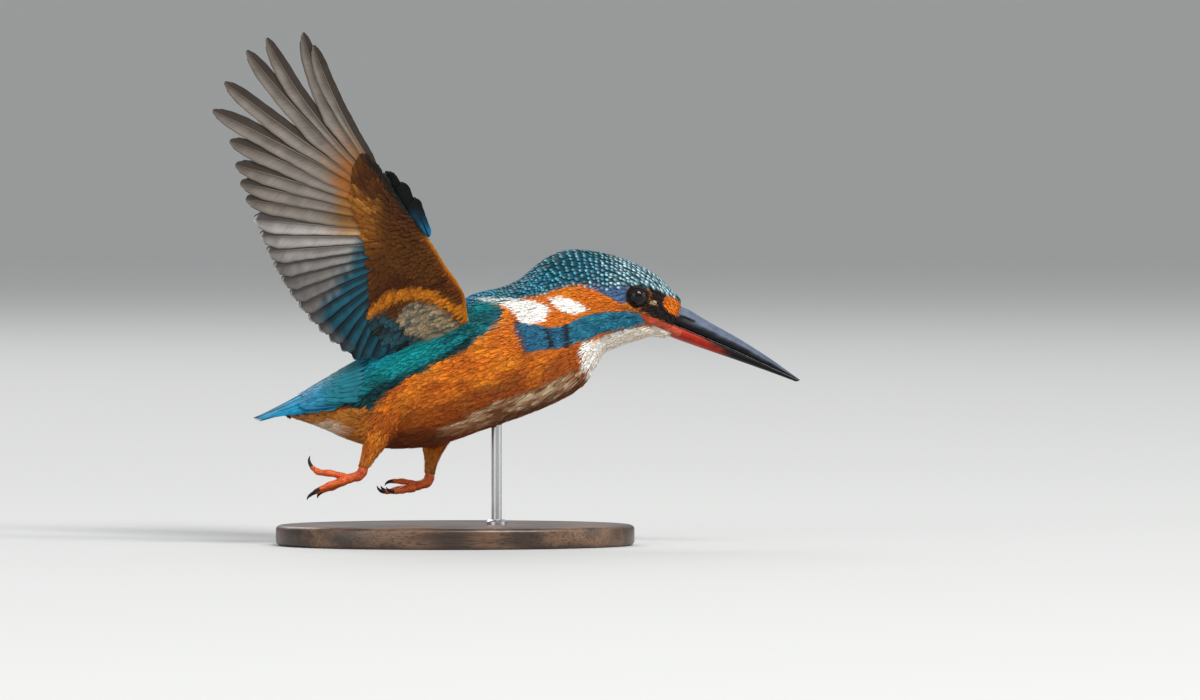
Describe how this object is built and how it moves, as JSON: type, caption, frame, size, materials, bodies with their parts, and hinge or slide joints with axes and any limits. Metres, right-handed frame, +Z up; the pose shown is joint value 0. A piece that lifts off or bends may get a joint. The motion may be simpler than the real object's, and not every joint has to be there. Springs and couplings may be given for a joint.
{
  "type": "kingfisher model",
  "caption": "Life-size still model of a small kingfisher taking off, wings raised and swept back, long dagger bill, held by a rod on a flat oval base.",
  "frame": {"origin": "centre of the underside of the stand's oval base", "axes": "+X the way the bird faces, +Y to its left, +Z up"},
  "size_m": [0.1703, 0.0816, 0.1484],
  "materials": {
    "crown_feather": "fine overlapping blue-green feathers with pale spots",
    "breast_feather": "soft loose orange feathers, teal on the back",
    "tail_feather": "smooth close-barbed blue feathers",
    "flight_feather": "stiff grey-brown flight feathers with pale shafts",
    "under_covert": "soft orange coverts below and blue-green coverts above",
    "leg_skin": "fine scaly orange-red skin",
    "claw_horn": "dark polished horn",
    "upper_bill": "dark satin horn with a blue-grey sheen",
    "lower_bill": "satin horn, orange-red at the base and dark at the tip",
    "eye": "wet black-brown eye",
    "stand_wood": "dark oiled wood with a satin lacquer",
    "stand_steel": "satin steel"
  },
  "bodies": {
    "root": {"head": "crown_feather", "neck": "crown_feather", "trunk": "breast_feather", "tail": "tail_feather", "bill_upper": "upper_bill", "bill_lower": "lower_bill", "eye_right": "eye", "eye_left": "eye", "wing_right_arm": "under_covert", "wing_right_primaries": "flight_feather", "wing_right_secondaries": "flight_feather", "wing_right_alula": "tail_feather", "leg_right_thigh": "breast_feather", "leg_right_foot": "leg_skin", "leg_right_claw_hallux": "claw_horn", "leg_right_claw_inner": "claw_horn", "leg_right_claw_middle": "claw_horn", "leg_right_claw_outer": "claw_horn", "wing_left_arm": "under_covert", "wing_left_primaries": "flight_feather", "wing_left_secondaries": "flight_feather", "wing_left_alula": "tail_feather", "leg_left_thigh": "breast_feather", "leg_left_foot": "leg_skin", "leg_left_claw_hallux": "claw_horn", "leg_left_claw_inner": "claw_horn", "leg_left_claw_middle": "claw_horn", "leg_left_claw_outer": "claw_horn", "stand_base": "stand_wood", "stand_rod": "stand_steel"}
  },
  "joints": []
}
